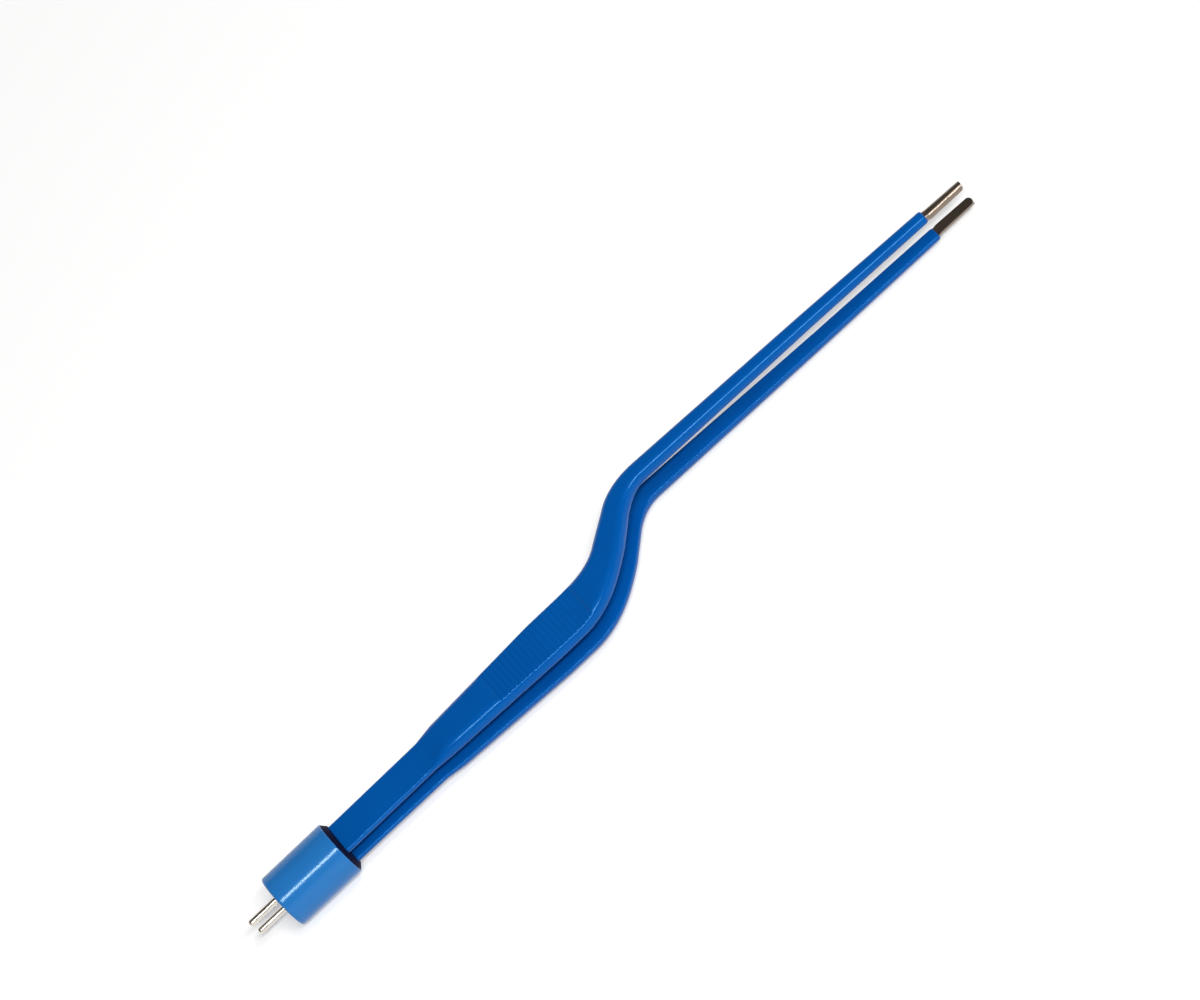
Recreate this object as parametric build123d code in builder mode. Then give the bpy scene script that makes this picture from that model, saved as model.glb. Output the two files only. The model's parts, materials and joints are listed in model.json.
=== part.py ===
from build123d import *
from math import atan2, cos, degrees, pi, radians, sin
import os

# Bipolar forceps of bayonet form: two sprung blades with an insulating coat, held in a plug
# with two contact pins. All sizes are in millimetres.
# +X runs along the plug's axis to the tips, +Y is the side that the tips are offset to, and
# +Z is the way the upper blade opens. The origin is the centre of the plug's rear face, and
# the blades close on the plane Z = 0.

# Plug housing
plug_dia = 12.5
plug_length = 16.0
plug_wall = 1.2
plug_floor = 4.0
plug_rear_round = 0.6
plug_mouth_round = 0.25

# Contact pins
pin_dia = 1.5
pin_pitch = 3.9
pin_reach = 7.6
pin_nose_round = 0.6
pin_shank_dia = 2.0
pin_collar_dia = 2.5
pin_collar_length = 0.8
pin_tail_dia = 1.0
pin_tail_length = 4.4
pin_clearance = 0.02

# Potting in the mouth of the plug
potting_rise = 0.9
potting_base_dia = 12.0
potting_top_dia = 10.0
potting_round = 0.4

# Spacer between the blade tails
spacer_length = 4.2
spacer_width = 6.0
spacer_setback = 2.2

# Route of each arm, seen from above
overall_length = 197.0
bend_start = 80.0
bayonet_angle = 42.5
knee_radius = 23.5
slope_length = 7.4
neck_radius = 13.0
shaft_droop = 1.95

# Leaf, the thin springy length in front of the plug
coat_start = 12.5
leaf_end = 41.0
leaf_width = 7.8
leaf_thickness = 1.25
leaf_rear_height = 1.5
leaf_front_height = 1.75
leaf_round = 0.55

# Grip
grip_start = 45.5
grip_full = 73.0
grip_rear_width = 8.7
grip_front_width = 11.1
grip_thickness = 2.6
grip_rear_height = 1.88
grip_front_height = 2.25
grip_round = 2.05

# Slope between the two bends of the bayonet
slope_rear_width = 7.0
slope_front_width = 6.0
slope_thickness = 2.6
slope_height = 2.4
slope_round = 1.9

# Shaft, from the neck to the end of the coat
neck_width = 4.4
neck_thickness = 2.6
neck_height = 2.55
neck_round = 1.5
shaft_mid = 45.0
shaft_mid_width = 3.5
shaft_mid_thickness = 2.15
shaft_mid_height = 2.85
shaft_end_width = 3.0
shaft_end_thickness = 1.9
shaft_end_height = 2.7
shaft_round = 1.25

# Bare tip, flat inside and domed outside
bare_tip_length = 9.8
tip_root_length = 1.0
tip_root_width = 2.4
tip_end_width = 2.1
tip_thickness = 1.25
tip_height = 2.66
tip_outer_round = 1.0
tip_inner_round = 0.15

# Coat
coat_thickness = 0.35
coat_end_round = 0.6
coat_end_lip = 0.07
inner_round = 0.4

# Serrated zone of the grip
serration_start = 58.6
serration_end = 85.2
serration_pitch = 1.17
serration_relief = 0.3
serration_depth = 0.3
serration_flat = 0.35
coat_groove_depth = 0.15

# Blade tail inside the plug
tail_gap = 1.3
tail_width = 4.4
root_clearance = 0.12

# Hinge that stands in for the bending of a leaf, and what is left between the closed tips
hinge_x = 11.0
closed_gap = 0.04

os.makedirs("parts", exist_ok=True)

bore_dia = plug_dia - 2 * plug_wall
tail_start = plug_floor + tail_gap
mouth = plug_length + potting_rise
pin_height = pin_pitch / 2
collar_end = plug_floor + pin_collar_length
tail_height = leaf_rear_height + coat_thickness
tail_thickness = leaf_thickness - 2 * coat_thickness

# Centre line of an arm, seen from above
with BuildLine() as route:
    rear = Line((tail_start, 0), (bend_start, 0))
    knee = JernArc(rear @ 1, rear % 1, knee_radius, bayonet_angle)
    slope = PolarLine(knee @ 1, slope_length, direction=knee % 1)
    neck = JernArc(slope @ 1, slope % 1, neck_radius, -(bayonet_angle + shaft_droop))
    shaft_length = (overall_length - (neck @ 1).X) / cos(radians(shaft_droop))
    PolarLine(neck @ 1, shaft_length, direction=neck % 1)
arm_line = route.wire()

# Places along the centre line, measured from the end of the blade's tail
knee_start = bend_start - tail_start
slope_start = knee_start + knee.length
neck_start = slope_start + slope_length
shaft_start = neck_start + neck.length
tip_end = shaft_start + shaft_length
coat_end = tip_end - bare_tip_length

# Stations of the coated arm: place, width, thickness, height of the inner face, outer round
leaf_rear = (coat_start - tail_start, leaf_width, leaf_thickness, leaf_rear_height, leaf_round)
leaf_front = (leaf_end - tail_start, leaf_width, leaf_thickness, leaf_front_height, leaf_round)
grip_rear = (grip_start - tail_start, grip_rear_width, grip_thickness, grip_rear_height, grip_round)
grip_wide = (grip_full - tail_start, grip_front_width, grip_thickness, grip_front_height, grip_round)
grip_front = (knee_start, grip_front_width, grip_thickness, grip_front_height, grip_round)
slope_rear = (slope_start, slope_rear_width, slope_thickness, slope_height, slope_round)
slope_front = (neck_start, slope_front_width, slope_thickness, slope_height, slope_round)
shaft_rear = (shaft_start, neck_width, neck_thickness, neck_height, neck_round)
shaft_middle = (shaft_start + shaft_mid, shaft_mid_width, shaft_mid_thickness,
                shaft_mid_height, shaft_round)
shaft_front = (coat_end - coat_end_round, shaft_end_width, shaft_end_thickness,
               shaft_end_height, shaft_round)


def mix(first, last, share):
    return tuple(a + (b - a) * share for a, b in zip(first, last))


def bend(first, last, steps=4):
    """Stations round a bend, whose sizes ease from one end's to the other's."""
    stations = []
    for step in range(steps + 1):
        eased = mix(first, last, (1 - cos(pi * step / steps)) / 2)
        stations.append((mix(first, last, step / steps)[0], *eased[1:]))
    return stations


def arm_plane(place, height):
    """Plane across the arm: its X runs across the width, its Y is up."""
    point = arm_line.position_at(place, PositionMode.LENGTH)
    ahead = arm_line.tangent_at(place, PositionMode.LENGTH)
    return Plane((point.X, point.Y, height), x_dir=(-ahead.Y, ahead.X, 0), z_dir=ahead)


def arm_section(station, inset):
    """D-shaped section: a flat inner face below, well rounded outer corners above."""
    place, width, thickness, height, outer_round = station
    with BuildSketch(arm_plane(place, height + inset)) as section:
        Rectangle(width - 2 * inset, thickness - 2 * inset, align=(Align.CENTER, Align.MIN))
        corners = section.vertices().group_by(Axis.Y)
        fillet(corners[-1], outer_round - inset)
        fillet(corners[0], inner_round - inset / 2)
    return section.sketch


def arm_form(inset):
    """The arm from the start of the coat to its end, inside the coated surface by the inset."""
    stretches = (
        [leaf_rear, leaf_front],
        [leaf_front, grip_rear],
        [grip_rear, grip_wide],
        [grip_wide, grip_front],
        bend(grip_front, slope_rear),
        [slope_rear, slope_front],
        bend(slope_front, shaft_rear),
        [shaft_rear, shaft_middle],
        [shaft_middle, shaft_front],
    )
    with BuildPart() as form:
        for stations in stretches:
            loft([arm_section(station, inset) for station in stations], ruled=len(stations) == 2)
    return form.part


def serration_cut(inset, depth):
    """What is taken off the grip's outer face: a shallow step with V grooves across its floor."""
    grip_top = grip_thickness - inset
    full_top = grip_front_height + grip_top
    start_share = (serration_start - grip_start) / (grip_full - grip_start)
    start_top = grip_rear_height + (grip_front_height - grip_rear_height) * start_share + grip_top
    count = int((serration_end - serration_start) / serration_pitch)
    half_groove = serration_pitch - serration_flat
    with BuildPart() as cut:
        with BuildSketch(Plane.XZ) as step:
            Polygon(
                (serration_start, start_top - serration_relief),
                (grip_full, full_top - serration_relief),
                (serration_end, full_top - serration_relief),
                (serration_end, full_top + grip_thickness),
                (serration_start, full_top + grip_thickness),
                align=None,
            )
            for ridge in range(count):
                groove_x = serration_start + (ridge + 0.5) * serration_pitch
                rise = min((groove_x - serration_start) / (grip_full - serration_start), 1)
                floor_z = start_top + (full_top - start_top) * rise - serration_relief
                with Locations((groove_x, floor_z)):
                    Polygon((-half_groove, depth), (half_groove, depth), (0, -depth), align=None)
        extrude(amount=grip_front_width, both=True)
    return cut.part


# Plug housing, a moulded cup with two pin holes through its floor
with BuildPart() as plug_housing:
    with BuildSketch(Plane.YZ):
        Circle(plug_dia / 2)
    extrude(amount=plug_length)
    with BuildSketch(Plane.YZ.offset(plug_floor)):
        Circle(bore_dia / 2)
    extrude(amount=plug_length - plug_floor, mode=Mode.SUBTRACT)
    with BuildSketch(Plane.YZ):
        with GridLocations(0, pin_pitch, 1, 2):
            Circle(pin_shank_dia / 2 + pin_clearance)
    extrude(amount=plug_floor, mode=Mode.SUBTRACT)
    rims = plug_housing.edges().filter_by(GeomType.CIRCLE).sort_by(SortBy.RADIUS)[-2:].sort_by(Axis.X)
    fillet(rims[0], plug_rear_round)
    fillet(rims[-1], plug_mouth_round)
plug_housing.part.label = "plug_housing"
export_step(plug_housing.part, "parts/plug_housing.step")

# Contact pins, each with a thicker shank that the plug's floor is moulded round, a collar
# inside the floor and a tail that is flat under its blade
with BuildPart() as upper_contact_pin:
    with BuildSketch(Plane.YZ.offset(-pin_reach)):
        with Locations((0, pin_height)):
            Circle(pin_dia / 2)
    extrude(amount=pin_reach)
    nose = upper_contact_pin.edges().group_by(Axis.X)[0]
    fillet(nose, pin_nose_round)
    with BuildSketch(Plane.YZ):
        with Locations((0, pin_height)):
            Circle(pin_shank_dia / 2)
    extrude(amount=plug_floor)
    with BuildSketch(Plane.YZ.offset(plug_floor)):
        with Locations((0, pin_height)):
            Circle(pin_collar_dia / 2)
    extrude(amount=pin_collar_length)
    with BuildSketch(Plane.YZ.offset(collar_end)):
        with Locations((0, pin_height)):
            Circle(pin_tail_dia / 2)
        with Locations((0, tail_height - root_clearance)):
            Rectangle(pin_tail_dia, pin_tail_dia, align=(Align.CENTER, Align.MIN), mode=Mode.SUBTRACT)
    extrude(amount=pin_tail_length)
upper_contact_pin.part.label = "upper_contact_pin"
export_step(upper_contact_pin.part, "parts/upper_contact_pin.step")

with BuildPart() as lower_contact_pin:
    mirror(upper_contact_pin.part, about=Plane.XY)
lower_contact_pin.part.label = "lower_contact_pin"
export_step(lower_contact_pin.part, "parts/lower_contact_pin.step")

# Spacer that holds the tails apart while the resin sets
spacer_end = plug_length - spacer_setback
spacer_height = 2 * (leaf_rear_height - root_clearance)
with BuildPart() as tail_spacer:
    with BuildSketch(Plane.YZ.offset(spacer_end - spacer_length)):
        Rectangle(spacer_width, spacer_height)
    extrude(amount=spacer_length)
tail_spacer.part.label = "tail_spacer"
export_step(tail_spacer.part, "parts/tail_spacer.step")

# Potting, with a low dome over the plug's rim and a slot with running room round each arm
def root_slot():
    """The room that the upper arm's root, its tail and its pin take up inside the potting."""
    leaf_length = leaf_end - coat_start
    slot_rear = mix(leaf_rear, leaf_front, -root_clearance / leaf_length)
    slot_front = mix(leaf_rear, leaf_front, 2 * (mouth - coat_start) / leaf_length)
    with BuildPart() as slot:
        loft([arm_section(slot_rear, -root_clearance), arm_section(slot_front, -root_clearance)])
        with BuildSketch(Plane.YZ.offset(collar_end)):
            with Locations((0, tail_height - root_clearance)):
                Rectangle(tail_width + 2 * root_clearance, tail_thickness + 2 * root_clearance,
                          align=(Align.CENTER, Align.MIN))
            with Locations((0, pin_height)):
                Circle(pin_tail_dia / 2 + pin_clearance)
        extrude(amount=coat_start - collar_end)
        with BuildSketch(Plane.YZ.offset(plug_floor)):
            with Locations((0, pin_height)):
                Circle(pin_collar_dia / 2 + pin_clearance)
        extrude(amount=pin_collar_length)
    return slot.part


upper_slot = root_slot()
with BuildPart() as potting:
    with BuildSketch(Plane.XY):
        Polygon(
            (plug_floor, 0),
            (plug_floor, bore_dia / 2),
            (plug_length, bore_dia / 2),
            (plug_length, potting_base_dia / 2),
            (mouth, potting_top_dia / 2),
            (mouth, 0),
            align=None,
        )
    revolve(axis=Axis.X)
    fillet(potting.edges().group_by(Axis.X)[-1], potting_round)
    add(tail_spacer.part, mode=Mode.SUBTRACT)
    add(upper_slot, mode=Mode.SUBTRACT)
    add(mirror(upper_slot, about=Plane.XY, mode=Mode.PRIVATE), mode=Mode.SUBTRACT)
potting.part.label = "potting"
export_step(potting.part, "parts/potting.step")

# Blades, each one piece from its tail in the plug to its bare tip
tip_root = (coat_end + tip_root_length, tip_root_width)
tip_front = (tip_end, tip_end_width)


def tip_section(place, width):
    with BuildSketch(arm_plane(place, tip_height)) as section:
        Rectangle(width, tip_thickness, align=(Align.CENTER, Align.MIN))
        corners = section.vertices().group_by(Axis.Y)
        fillet(corners[-1], tip_outer_round)
        fillet(corners[0], tip_inner_round)
    return section.sketch


def tip_form():
    """The tapered end of the bare tip, with a nose that is round when seen from above."""
    end = arm_plane(tip_end, tip_height)
    with BuildPart() as tip:
        loft([tip_section(*tip_root), tip_section(*tip_front)])
        with BuildSketch(Plane(end.origin, x_dir=end.z_dir, z_dir=(0, 0, 1))):
            with Locations((-bare_tip_length, 0)):
                SlotOverall(2 * bare_tip_length, tip_root_width)
        extrude(amount=tip_thickness, mode=Mode.INTERSECT)
    return tip.part


with BuildPart() as upper_blade:
    add(arm_form(coat_thickness))
    add(serration_cut(coat_thickness, serration_depth), mode=Mode.SUBTRACT)
    with BuildSketch(Plane.YZ.offset(tail_start)):
        with Locations((0, tail_height)):
            Rectangle(tail_width, tail_thickness, align=(Align.CENTER, Align.MIN))
    extrude(amount=coat_start - tail_start)
    loft([arm_section(shaft_front, coat_thickness), tip_section(*tip_root)])
    add(tip_form())
upper_blade.part.label = "upper_blade"
export_step(upper_blade.part, "parts/upper_blade.step")

# Coats, each over its blade from inside the potting to a rounded end short of the tip
with BuildPart() as upper_coating:
    add(arm_form(0))
    add(serration_cut(0, coat_groove_depth), mode=Mode.SUBTRACT)
    end_sections = []
    for angle in (0, 30, 60, 90):
        station = (coat_end - coat_end_round * (1 - sin(radians(angle))), *shaft_front[1:])
        inset = (coat_thickness - coat_end_lip) * (1 - cos(radians(angle)))
        end_sections.append(arm_section(station, inset))
    loft(end_sections)
    add(upper_blade.part, mode=Mode.SUBTRACT)
upper_coating.part.label = "upper_coating"
export_step(upper_coating.part, "parts/upper_coating.step")

# The lower arm is the upper one mirrored in the closing plane
with BuildPart() as lower_blade:
    mirror(upper_blade.part, about=Plane.XY)
lower_blade.part.label = "lower_blade"
export_step(lower_blade.part, "parts/lower_blade.step")

with BuildPart() as lower_coating:
    mirror(upper_coating.part, about=Plane.XY)
lower_coating.part.label = "lower_coating"
export_step(lower_coating.part, "parts/lower_coating.step")

print("closing angle", degrees(atan2(tip_height - closed_gap / 2, overall_length - hinge_x)))
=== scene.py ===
import json
import math
import bmesh
import bpy
from mathutils import Matrix, Vector


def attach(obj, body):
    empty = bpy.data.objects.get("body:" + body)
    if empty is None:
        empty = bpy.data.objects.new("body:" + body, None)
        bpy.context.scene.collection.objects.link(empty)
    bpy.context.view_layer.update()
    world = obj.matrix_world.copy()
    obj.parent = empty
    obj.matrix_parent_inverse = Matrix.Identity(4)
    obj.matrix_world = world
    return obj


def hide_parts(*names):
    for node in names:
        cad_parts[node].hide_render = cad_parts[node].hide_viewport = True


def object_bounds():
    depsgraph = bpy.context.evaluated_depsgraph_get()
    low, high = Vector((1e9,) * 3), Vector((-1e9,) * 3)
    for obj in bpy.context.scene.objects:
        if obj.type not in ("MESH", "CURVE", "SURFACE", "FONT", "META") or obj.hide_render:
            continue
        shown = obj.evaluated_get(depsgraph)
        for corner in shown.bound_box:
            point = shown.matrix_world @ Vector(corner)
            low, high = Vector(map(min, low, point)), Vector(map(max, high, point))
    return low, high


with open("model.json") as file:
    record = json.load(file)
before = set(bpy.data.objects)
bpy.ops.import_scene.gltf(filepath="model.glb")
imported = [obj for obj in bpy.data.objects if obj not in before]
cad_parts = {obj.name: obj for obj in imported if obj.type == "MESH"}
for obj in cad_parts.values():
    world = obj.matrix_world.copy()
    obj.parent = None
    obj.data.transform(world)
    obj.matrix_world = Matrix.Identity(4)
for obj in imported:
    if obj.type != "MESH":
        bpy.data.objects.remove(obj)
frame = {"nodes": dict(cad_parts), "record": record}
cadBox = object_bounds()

# Bipolar forceps of bayonet form: the coats are modelled here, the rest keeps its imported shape.
# Sizes are in millimetres and are turned to metres when a piece is finished.

mm = 0.001
tiny = 1e-6

print("stage: frame loaded")


# Camera, light and floor

cameraSetup = {
    "distance": 1000.0,
    "focalPixels": 5020.0,    # focal length in pixels of the 1200 x 1000 picture
    "imageWidth": 1200,
    "sensor": 36.0,
    "clipStart": 50.0,
    "clipEnd": 20000.0,
    "fromVertical": 38.5,     # how far the line of sight leans from straight down
    "roll": 43.4,             # turn of the arms in the picture
    "aimAlong": 101.1,        # the middle of the picture, along the plug's axis
    "aimUp": 14.76,           # and across it, in the picture's plane
}

lamps = {
    # tilt is how far a lamp stands above the camera in the picture, in degrees, along and across are its
    # size along and across the arms, and only a reflected lamp shows in gloss
    "keyLamp": {"tilt": 8.0, "along": 900.0, "across": 210.0, "power": 15.5, "reflected": True},
    "softPanel": {"tilt": 34.0, "along": 700.0, "across": 400.0, "power": 5.0, "reflected": False},
}

studio = {
    "lampDistance": 1400.0,
    "wall": "#FFFFFF",
    "ceiling": "#45423F",
    "wallTop": 0.22,          # height on the sky where the white walls start to fade
    "ceilingFrom": 0.55,
    "floor": "#DEDEDE",
    "floorRadius": 3000.0,
    "floorSegments": 64,
    "floorGlow": 0.33,        # what brings the paper up to white for the lens and for gloss
}

lean = math.radians(cameraSetup["fromVertical"])
roll = math.radians(cameraSetup["roll"])
towardCamera = Vector((0, -math.sin(lean), math.cos(lean)))
acrossArms = Vector((0, math.cos(lean), math.sin(lean)))
pictureRight = math.cos(roll) * Vector((1, 0, 0)) - math.sin(roll) * acrossArms
pictureUp = math.sin(roll) * Vector((1, 0, 0)) + math.cos(roll) * acrossArms
aim = Vector((cameraSetup["aimAlong"], 0, 0)) + cameraSetup["aimUp"] * acrossArms


def placeFacing(thing, right, up, back, spot):
    turned = Matrix((right, up, back)).transposed().to_4x4()
    thing.matrix_world = Matrix.Translation(spot * mm) @ turned


def linear(hexColour):
    parts = [int(hexColour[i:i + 2], 16) / 255 for i in (1, 3, 5)]
    return (*(c / 12.92 if c <= 0.04045 else ((c + 0.055) / 1.055) ** 2.4 for c in parts), 1)


def addNode(tree, kind, settings=None, values=None, links=None):
    node = tree.nodes.new(kind)
    for key, value in (settings or {}).items():
        setattr(node, key, value)
    for key, value in (values or {}).items():
        node.inputs[key].default_value = value
    for key, socket in (links or {}).items():
        tree.links.new(socket, node.inputs[key])
    return node


def buildCamera():
    lens = bpy.data.cameras.new("camera")
    lens.sensor_width = cameraSetup["sensor"]
    lens.lens = cameraSetup["focalPixels"] * cameraSetup["sensor"] / cameraSetup["imageWidth"]
    lens.clip_start, lens.clip_end = cameraSetup["clipStart"] * mm, cameraSetup["clipEnd"] * mm
    camera = bpy.data.objects.new("camera", lens)
    bpy.context.scene.collection.objects.link(camera)
    spot = aim + towardCamera * cameraSetup["distance"]
    placeFacing(camera, pictureRight, pictureUp, towardCamera, spot)
    bpy.context.scene.camera = camera


def buildLamps():
    for name, setup in lamps.items():
        tilt = math.radians(setup["tilt"])
        towardLamp = math.cos(tilt) * towardCamera + math.sin(tilt) * pictureUp
        side = (Vector((1, 0, 0)) - towardLamp.x * towardLamp).normalized()
        lamp = bpy.data.lights.new(name, "AREA")
        lamp.shape = "RECTANGLE"
        lamp.size, lamp.size_y = setup["along"] * mm, setup["across"] * mm
        lamp.energy = setup["power"]
        holder = bpy.data.objects.new(name, lamp)
        bpy.context.scene.collection.objects.link(holder)
        holder.visible_glossy = setup["reflected"]
        spot = aim + towardLamp * studio["lampDistance"]
        placeFacing(holder, side, towardLamp.cross(side), towardLamp, spot)


def buildWorld():
    # white studio walls round the horizon, a dark ceiling above them
    world = bpy.data.worlds.new("studio")
    world.use_nodes = True
    bpy.context.scene.world = world
    tree = world.node_tree
    tree.nodes.clear()
    sky = addNode(tree, "ShaderNodeTexCoord")
    height = addNode(tree, "ShaderNodeSeparateXYZ", links={"Vector": sky.outputs["Generated"]})
    fade = addNode(tree, "ShaderNodeMapRange", {"interpolation_type": "SMOOTHSTEP"},
                   {"From Min": studio["wallTop"], "From Max": studio["ceilingFrom"]},
                   {"Value": height.outputs["Z"]})
    tone = addNode(tree, "ShaderNodeMix", {"data_type": "RGBA"},
                   {"A": linear(studio["wall"]), "B": linear(studio["ceiling"])},
                   {"Factor": fade.outputs["Result"]})
    glow = addNode(tree, "ShaderNodeBackground", links={"Color": tone.outputs["Result"]})
    addNode(tree, "ShaderNodeOutputWorld", links={"Surface": glow.outputs["Background"]})


def newMaterial(name):
    material = bpy.data.materials.new(name)
    material.use_nodes = True
    material.node_tree.nodes.clear()
    return material, material.node_tree


def buildFloor():
    # matt paper, brought up to white for the lens and for gloss, but not in the light that it throws back
    material, tree = newMaterial("floorPaper")
    paper = addNode(tree, "ShaderNodeBsdfDiffuse", values={"Color": linear(studio["floor"])})
    ray = addNode(tree, "ShaderNodeLightPath")
    seen = addNode(tree, "ShaderNodeMath", {"operation": "MAXIMUM"},
                   links={0: ray.outputs["Is Camera Ray"], 1: ray.outputs["Is Glossy Ray"]})
    passed = addNode(tree, "ShaderNodeMath", {"operation": "MAXIMUM"},
                     links={0: seen.outputs[0], 1: ray.outputs["Is Transmission Ray"]})
    share = addNode(tree, "ShaderNodeMath", {"operation": "MULTIPLY"}, {1: studio["floorGlow"]},
                    {0: passed.outputs[0]})
    glow = addNode(tree, "ShaderNodeEmission", links={"Strength": share.outputs[0]})
    both = addNode(tree, "ShaderNodeAddShader", links={0: paper.outputs["BSDF"], 1: glow.outputs["Emission"]})
    addNode(tree, "ShaderNodeOutputMaterial", links={"Surface": both.outputs["Shader"]})
    bm = bmesh.new()
    bmesh.ops.create_circle(bm, cap_ends=True, segments=studio["floorSegments"],
                            radius=studio["floorRadius"] * mm)
    bmesh.ops.translate(bm, vec=(0, 0, cadBox[0].z), verts=bm.verts)
    mesh = bpy.data.meshes.new("floor")
    bm.to_mesh(mesh)
    bm.free()
    floor = bpy.data.objects.new("floor", mesh)
    bpy.context.scene.collection.objects.link(floor)
    mesh.materials.append(material)


buildCamera()
buildLamps()
buildWorld()
buildFloor()
print("stage: camera, light and floor")


# Materials

# A pattern's size is in millimetres, and so is the height of its bumps

dipCoat = {"colour": "#0256A6", "deep": "#024E9B", "shine": "#7FCBFF", "roughness": 0.17, "specular": 0.32,
           "ior": 1.5, "cloud": 9.0, "peel": 1.4, "peelHeight": 0.03, "peelStrength": 0.06}
plugPlastic = {"colour": "#206AAF", "pale": "#2671B6", "shine": "#D6F8FF", "roughness": 0.15,
               "specular": 0.35, "ior": 1.49, "cloud": 6.0, "grain": 0.35, "grainHeight": 0.02,
               "grainStrength": 0.15}
resin = {"colour": "#070D2A", "roughness": 0.6, "specular": 0.04, "ior": 1.55, "ripple": 1.6,
         "rippleHeight": 0.1, "rippleStrength": 0.4}
plating = {"colour": "#DDD6CC", "roughness": 0.28, "turning": 0.22, "turningHeight": 0.01,
           "turningStrength": 0.15}
tipSteel = {"colour": "#8E8074", "smoothest": 0.288, "roughest": 0.468, "grain": 0.12, "grainStretch": 0.04,
            "grainHeight": 0.01, "grainStrength": 0.2}
spacerPlastic = {"colour": "#D6D4CC", "roughness": 0.5, "ior": 1.53, "cloud": 2.0, "cloudHeight": 0.02,
                 "cloudStrength": 0.1}


def patternScale(size):
    return 1 / (size * mm)


def buildDipCoat():
    # polyamide powder fused on in a fluid bed: thick, glossy, with a faint orange peel
    material, tree = newMaterial("dippedPolyamide")
    place = addNode(tree, "ShaderNodeTexCoord")
    cloud = addNode(tree, "ShaderNodeTexNoise", values={"Scale": patternScale(dipCoat["cloud"]), "Detail": 2.0},
                    links={"Vector": place.outputs["Object"]})
    tone = addNode(tree, "ShaderNodeMix", {"data_type": "RGBA"},
                   {"A": linear(dipCoat["deep"]), "B": linear(dipCoat["colour"])},
                   {"Factor": cloud.outputs["Fac"]})
    peel = addNode(tree, "ShaderNodeTexNoise", values={"Scale": patternScale(dipCoat["peel"]), "Detail": 1.0},
                   links={"Vector": place.outputs["Object"]})
    bump = addNode(tree, "ShaderNodeBump",
                   values={"Strength": dipCoat["peelStrength"], "Distance": dipCoat["peelHeight"] * mm},
                   links={"Height": peel.outputs["Fac"]})
    skin = addNode(tree, "ShaderNodeBsdfPrincipled",
                   values={"Roughness": dipCoat["roughness"], "Specular IOR Level": dipCoat["specular"],
                           "Specular Tint": linear(dipCoat["shine"]), "IOR": dipCoat["ior"]},
                   links={"Base Color": tone.outputs["Result"], "Normal": bump.outputs["Normal"]})
    addNode(tree, "ShaderNodeOutputMaterial", links={"Surface": skin.outputs["BSDF"]})
    return material


def buildPlugPlastic():
    # moulded polypropylene: a satin shine with a soft bloom, slightly uneven
    material, tree = newMaterial("mouldedPolypropylene")
    place = addNode(tree, "ShaderNodeTexCoord")
    cloud = addNode(tree, "ShaderNodeTexNoise",
                    values={"Scale": patternScale(plugPlastic["cloud"]), "Detail": 3.0},
                    links={"Vector": place.outputs["Object"]})
    tone = addNode(tree, "ShaderNodeMix", {"data_type": "RGBA"},
                   {"A": linear(plugPlastic["colour"]), "B": linear(plugPlastic["pale"])},
                   {"Factor": cloud.outputs["Fac"]})
    grain = addNode(tree, "ShaderNodeTexNoise",
                    values={"Scale": patternScale(plugPlastic["grain"]), "Detail": 2.0},
                    links={"Vector": place.outputs["Object"]})
    bump = addNode(tree, "ShaderNodeBump",
                   values={"Strength": plugPlastic["grainStrength"],
                           "Distance": plugPlastic["grainHeight"] * mm},
                   links={"Height": grain.outputs["Fac"]})
    skin = addNode(tree, "ShaderNodeBsdfPrincipled",
                   values={"Roughness": plugPlastic["roughness"], "IOR": plugPlastic["ior"],
                           "Specular IOR Level": plugPlastic["specular"],
                           "Specular Tint": linear(plugPlastic["shine"])},
                   links={"Base Color": tone.outputs["Result"], "Normal": bump.outputs["Normal"]})
    addNode(tree, "ShaderNodeOutputMaterial", links={"Surface": skin.outputs["BSDF"]})
    return material


def buildResin():
    # dark cast epoxy: dull, with shallow ripples where it set
    material, tree = newMaterial("castEpoxy")
    place = addNode(tree, "ShaderNodeTexCoord")
    ripple = addNode(tree, "ShaderNodeTexNoise", values={"Scale": patternScale(resin["ripple"]), "Detail": 1.0},
                     links={"Vector": place.outputs["Object"]})
    bump = addNode(tree, "ShaderNodeBump",
                   values={"Strength": resin["rippleStrength"], "Distance": resin["rippleHeight"] * mm},
                   links={"Height": ripple.outputs["Fac"]})
    skin = addNode(tree, "ShaderNodeBsdfPrincipled",
                   values={"Base Color": linear(resin["colour"]), "Roughness": resin["roughness"],
                           "Specular IOR Level": resin["specular"], "IOR": resin["ior"]},
                   links={"Normal": bump.outputs["Normal"]})
    addNode(tree, "ShaderNodeOutputMaterial", links={"Surface": skin.outputs["BSDF"]})
    return material


def buildPlating():
    # nickel plate over turned brass: bright, with fine rings left by the lathe
    material, tree = newMaterial("nickelPlate")
    place = addNode(tree, "ShaderNodeTexCoord")
    rings = addNode(tree, "ShaderNodeTexNoise", {"noise_dimensions": "1D"},
                    {"Scale": patternScale(plating["turning"]), "Detail": 1.0})
    along = addNode(tree, "ShaderNodeSeparateXYZ", links={"Vector": place.outputs["Object"]})
    tree.links.new(along.outputs["X"], rings.inputs["W"])
    bump = addNode(tree, "ShaderNodeBump",
                   values={"Strength": plating["turningStrength"], "Distance": plating["turningHeight"] * mm},
                   links={"Height": rings.outputs["Fac"]})
    skin = addNode(tree, "ShaderNodeBsdfPrincipled",
                   values={"Base Color": linear(plating["colour"]), "Metallic": 1.0,
                           "Roughness": plating["roughness"]},
                   links={"Normal": bump.outputs["Normal"]})
    addNode(tree, "ShaderNodeOutputMaterial", links={"Surface": skin.outputs["BSDF"]})
    return material


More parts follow.
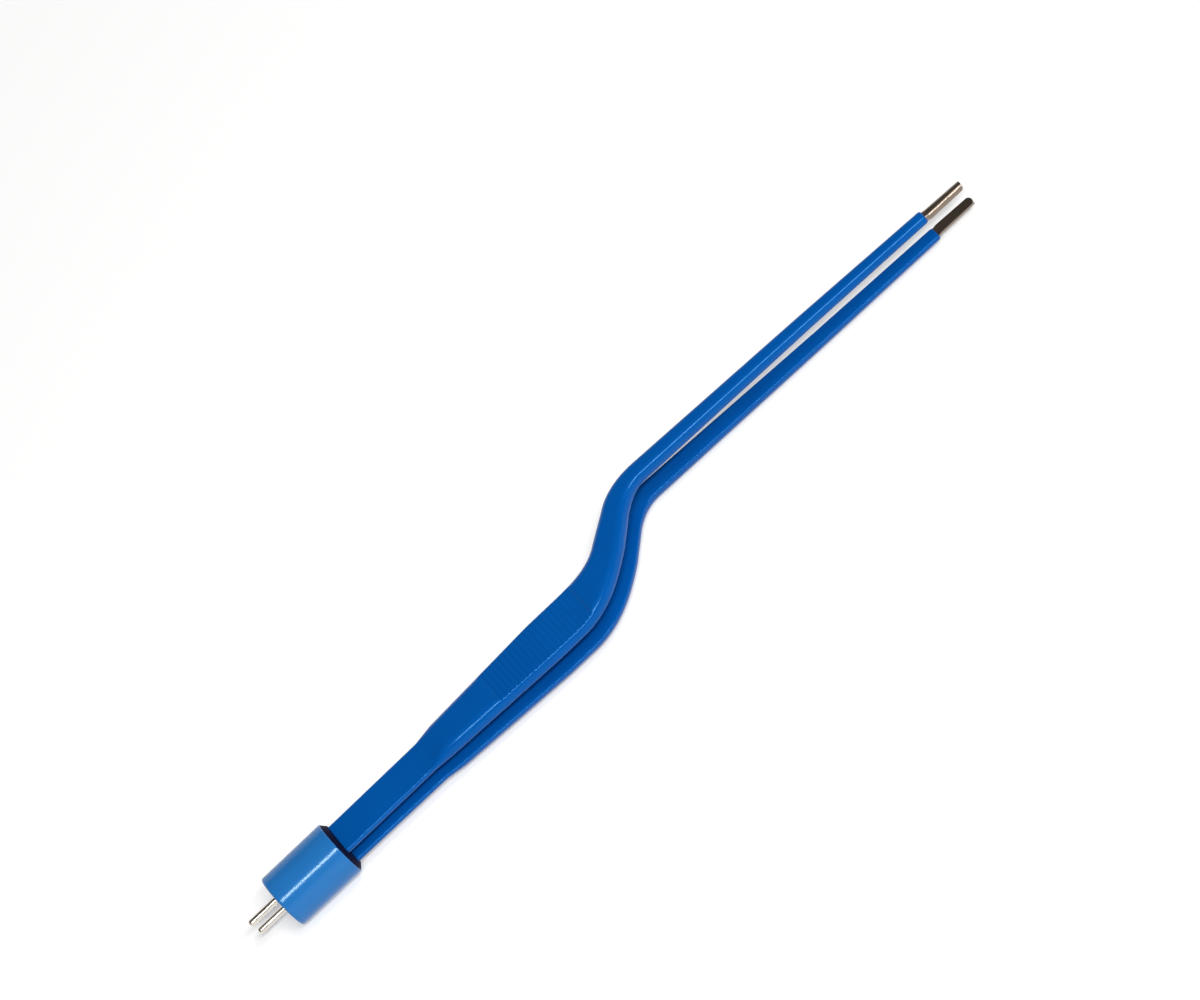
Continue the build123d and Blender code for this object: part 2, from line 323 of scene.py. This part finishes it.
def buildTipSteel():
    # stainless steel ground along its length: satin, slightly warm, with fine lines
    material, tree = newMaterial("groundStainless")
    place = addNode(tree, "ShaderNodeTexCoord")
    stretch = addNode(tree, "ShaderNodeMapping", values={"Scale": (tipSteel["grainStretch"], 1.0, 1.0)},
                      links={"Vector": place.outputs["Object"]})
    grain = addNode(tree, "ShaderNodeTexNoise",
                    values={"Scale": patternScale(tipSteel["grain"]), "Detail": 3.0},
                    links={"Vector": stretch.outputs["Vector"]})
    rough = addNode(tree, "ShaderNodeMapRange",
                    values={"To Min": tipSteel["smoothest"], "To Max": tipSteel["roughest"]},
                    links={"Value": grain.outputs["Fac"]})
    bump = addNode(tree, "ShaderNodeBump",
                   values={"Strength": tipSteel["grainStrength"], "Distance": tipSteel["grainHeight"] * mm},
                   links={"Height": grain.outputs["Fac"]})
    skin = addNode(tree, "ShaderNodeBsdfPrincipled",
                   values={"Base Color": linear(tipSteel["colour"]), "Metallic": 1.0},
                   links={"Roughness": rough.outputs["Result"], "Normal": bump.outputs["Normal"]})
    addNode(tree, "ShaderNodeOutputMaterial", links={"Surface": skin.outputs["BSDF"]})
    return material


def buildSpacerPlastic():
    # natural moulded nylon: off-white and dull
    material, tree = newMaterial("naturalNylon")
    place = addNode(tree, "ShaderNodeTexCoord")
    cloud = addNode(tree, "ShaderNodeTexNoise", values={"Scale": patternScale(spacerPlastic["cloud"])},
                    links={"Vector": place.outputs["Object"]})
    bump = addNode(tree, "ShaderNodeBump",
                   values={"Strength": spacerPlastic["cloudStrength"],
                           "Distance": spacerPlastic["cloudHeight"] * mm},
                   links={"Height": cloud.outputs["Fac"]})
    skin = addNode(tree, "ShaderNodeBsdfPrincipled",
                   values={"Base Color": linear(spacerPlastic["colour"]),
                           "Roughness": spacerPlastic["roughness"], "IOR": spacerPlastic["ior"]},
                   links={"Normal": bump.outputs["Normal"]})
    addNode(tree, "ShaderNodeOutputMaterial", links={"Surface": skin.outputs["BSDF"]})
    return material


finishes = {
    "blue_coat": buildDipCoat(),
    "plug_plastic": buildPlugPlastic(),
    "potting_resin": buildResin(),
    "contact_metal": buildPlating(),
    "blade_steel": buildTipSteel(),
    "spacer_plastic": buildSpacerPlastic(),
}
for part in frame["record"]["subparts"]:
    frame["nodes"][part["node"]].material_slots[0].material = finishes[part["material_slot"]]
print("stage: materials")


# Arms

arm = {
    "bendStart": 80.0,
    "kneeRadius": 23.5,
    "bayonetAngle": 42.5,
    "slopeLength": 7.4,
    "neckRadius": 13.0,
    "shaftDroop": 1.95,
    "shaftMiddle": 45.0,
    "bareTip": 9.8,
}

coat = {
    "start": 12.5,
    "leafEnd": 41.0,
    "gripStart": 45.5,
    "gripFull": 73.0,
    "wall": 0.35,
    "innerRound": 0.4,
    "roundShare": 0.95,       # how much of a side its two rounds may take up
    "endRound": 0.6,
    "endLip": 0.07,
    # width, thickness, height of the inner face, round of the outer corners
    "leafRear": (7.8, 1.25, 1.5, 0.55),
    "leafFront": (7.8, 1.25, 1.75, 0.55),
    "gripRear": (8.7, 2.6, 1.88, 2.05),
    "gripFront": (11.1, 2.6, 2.25, 2.05),
    "slopeRear": (7.0, 2.6, 2.4, 1.9),
    "slopeFront": (6.0, 2.6, 2.4, 1.9),
    "neck": (4.4, 2.6, 2.55, 1.5),
    "shaftMiddle": (3.5, 2.15, 2.85, 1.25),
    "shaftFront": (3.0, 1.9, 2.7, 1.25),
}

serration = {"start": 58.6, "end": 85.2, "pitch": 1.17, "relief": 0.345, "depth": 0.13, "stepRound": 1.0,
             "reach": 2.5}    # how far past the last ridge the outlines stay close together

ringDetail = {"outerSegments": 14, "innerSegments": 5, "flatCuts": 9, "sideCuts": 2, "endSteps": 6,
              "straightStep": 4.0, "bendStep": 1.0, "ridgeSteps": 8}

kneeTurn = math.radians(arm["bayonetAngle"])
neckTurn = kneeTurn + math.radians(arm["shaftDroop"])
legs = [
    (arm["bendStart"], 0.0),
    (arm["kneeRadius"] * kneeTurn, kneeTurn),
    (arm["slopeLength"], 0.0),
    (arm["neckRadius"] * neckTurn, -neckTurn),
    (cadBox[1].x / mm, 0.0),
]


def routeAt(place):
    # the spot and the heading on an arm's centre line, seen from above
    spot, heading = Vector((0, 0, 0)), 0.0
    for length, turn in legs:
        run = min(place, length)
        place -= run
        swing = turn * run / length
        chord = run if abs(swing) < tiny else run * math.sin(swing / 2) / (swing / 2)
        spot += chord * Vector((math.cos(heading + swing / 2), math.sin(heading + swing / 2), 0))
        heading += swing
    return spot, heading


kneeStart = arm["bendStart"]
slopeStart = kneeStart + legs[1][0]
neckStart = slopeStart + legs[2][0]
shaftStart = neckStart + legs[3][0]
tipEnd = shaftStart + (cadBox[1].x / mm - routeAt(shaftStart)[0].x) / math.cos(math.radians(arm["shaftDroop"]))
coatEnd = tipEnd - arm["bareTip"]

controls = [
    (coat["start"], coat["leafRear"]),
    (coat["leafEnd"], coat["leafFront"]),
    (coat["gripStart"], coat["gripRear"]),
    (coat["gripFull"], coat["gripFront"]),
    (kneeStart, coat["gripFront"]),
    (slopeStart, coat["slopeRear"]),
    (neckStart, coat["slopeFront"]),
    (shaftStart, coat["neck"]),
    (shaftStart + arm["shaftMiddle"], coat["shaftMiddle"]),
    (coatEnd - coat["endRound"], coat["shaftFront"]),
]


def sectionAt(place):
    place = min(max(place, controls[0][0]), controls[-1][0])
    for (first, before), (last, after) in zip(controls, controls[1:]):
        if place <= last:
            share = (place - first) / (last - first)
            if first in (kneeStart, neckStart):
                share = (1 - math.cos(math.pi * share)) / 2
            return [a + (b - a) * share for a, b in zip(before, after)]


def milledTop(x, ridged):
    # height of the grip's outer face at x, with a soft step at each end and rounded ridges
    thickness, height = sectionAt(min(x, kneeStart))[1:3]
    fromEnd = min(x - serration["start"], serration["end"] - x)
    step = min(max(fromEnd / serration["stepRound"], 0), 1)
    groove = 1 - abs(math.sin(math.pi * (x - serration["start"]) / serration["pitch"]))
    return height + thickness - step * (serration["relief"] + serration["depth"] * (groove if ridged else 1))


def outlineOf(vert):
    # the vertices of one outline, from any of them
    found, ahead = {vert}, [vert]
    while ahead:
        for edge in ahead.pop().link_edges:
            for other in edge.verts:
                if other not in found:
                    found.add(other)
                    ahead.append(other)
    return list(found)


def addOutline(bm, place, inset, ridged):
    # a rectangle with its corners rounded, stood across the arm at this place
    width, thickness, height, outerRound = sectionAt(place)
    wide, thick = width - 2 * inset, thickness - 2 * inset
    corners = bmesh.ops.create_grid(bm, x_segments=1, y_segments=1, size=0.5)["verts"]
    bmesh.ops.scale(bm, vec=(wide, thick, 1), verts=corners)
    bmesh.ops.translate(bm, vec=(0, thick / 2, 0), verts=corners)
    outer = outerRound - inset
    inner = min(coat["innerRound"] - inset / 2, coat["roundShare"] * (thick - outer))
    rounds = [
        (outer, ringDetail["outerSegments"], [v for v in corners if v.co.y > thick / 2]),
        (inner, ringDetail["innerSegments"], [v for v in corners if v.co.y < thick / 2]),
    ]
    for offset, segments, picked in rounds:
        made = bmesh.ops.bevel(bm, geom=picked, offset=offset, offset_type="OFFSET", segments=segments,
                               profile=0.5, affect="VERTICES", material=-1)
    start = made["verts"][0]
    bmesh.ops.delete(bm, geom=list(start.link_faces), context="FACES_ONLY")
    for axis, cuts in (("y", ringDetail["flatCuts"]), ("x", ringDetail["sideCuts"])):
        edges = {edge for vert in outlineOf(start) for edge in vert.link_edges}
        level = [edge for edge in edges
                 if abs(getattr(edge.verts[0].co - edge.verts[1].co, axis)) < tiny]
        cut = bmesh.ops.bisect_edges(bm, edges=level, cuts=cuts)["geom_split"]
        start = next(item for item in cut if isinstance(item, bmesh.types.BMVert))
    ring = outlineOf(start)
    spot, heading = routeAt(place)
    across = Vector((-math.sin(heading), math.cos(heading), 0))
    for vert in ring:
        stood = spot + across * vert.co.x + Vector((0, 0, height + inset + vert.co.y))
        if serration["start"] < stood.x < serration["end"]:
            stood.z = min(stood.z, milledTop(stood.x, ridged) - inset)
        vert.co = stood
    return list({edge for vert in ring for edge in vert.link_edges})


def outlinePlaces(ridged):
    ridgesEnd = serration["end"] + serration["reach"]
    last = coatEnd - coat["endRound"]
    stops = sorted({place for place, section in controls} | {serration["start"], ridgesEnd})
    places = []
    for before, after in zip(stops, stops[1:]):
        middle = (before + after) / 2
        step = ringDetail["straightStep"]
        if kneeStart < middle < slopeStart or neckStart < middle < shaftStart:
            step = ringDetail["bendStep"]
        if ridged and serration["start"] < middle < ridgesEnd:
            step = serration["pitch"] / ringDetail["ridgeSteps"]
        count = math.ceil((after - before) / step)
        places += [before + (after - before) * i / count for i in range(count)]
    return places + [last]


def buildCoatMesh():
    # a sleeve of outlines: out along its surface, round its end and back along the steel
    bm = bmesh.new()
    outlines = [addOutline(bm, place, 0, True) for place in outlinePlaces(True)]
    for step in range(1, ringDetail["endSteps"] + 1):
        turn = math.pi / 2 * step / ringDetail["endSteps"]
        place = coatEnd - coat["endRound"] * (1 - math.sin(turn))
        outlines.append(addOutline(bm, place, (coat["wall"] - coat["endLip"]) * (1 - math.cos(turn)), False))
    outlines += [addOutline(bm, place, coat["wall"], False) for place in [*outlinePlaces(False), coatEnd][::-1]]
    for before, after in zip(outlines, outlines[1:] + outlines[:1]):
        bmesh.ops.bridge_loops(bm, edges=before + after)
    return bm


def finishPiece(bm, name, body, slot, *stoodFor):
    bmesh.ops.scale(bm, vec=(mm, mm, mm), verts=bm.verts)
    bmesh.ops.recalc_face_normals(bm, faces=bm.faces)
    mesh = bpy.data.meshes.new(name)
    bm.to_mesh(mesh)
    bm.free()
    mesh.shade_smooth()
    mesh.materials.append(finishes[slot])
    piece = bpy.data.objects.new(name, mesh)
    bpy.context.scene.collection.objects.link(piece)
    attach(piece, body)
    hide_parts(*stoodFor)
    return piece


upperCoat = buildCoatMesh()
lowerCoat = upperCoat.copy()
bmesh.ops.scale(lowerCoat, vec=(1, 1, -1), verts=lowerCoat.verts)
finishPiece(upperCoat, "upperCoat", "upper_arm", "blue_coat", "upper_coating")
finishPiece(lowerCoat, "lowerCoat", "lower_arm", "blue_coat", "lower_coating")
print("stage: arms")


bpy.context.scene.view_settings.view_transform = "Standard"
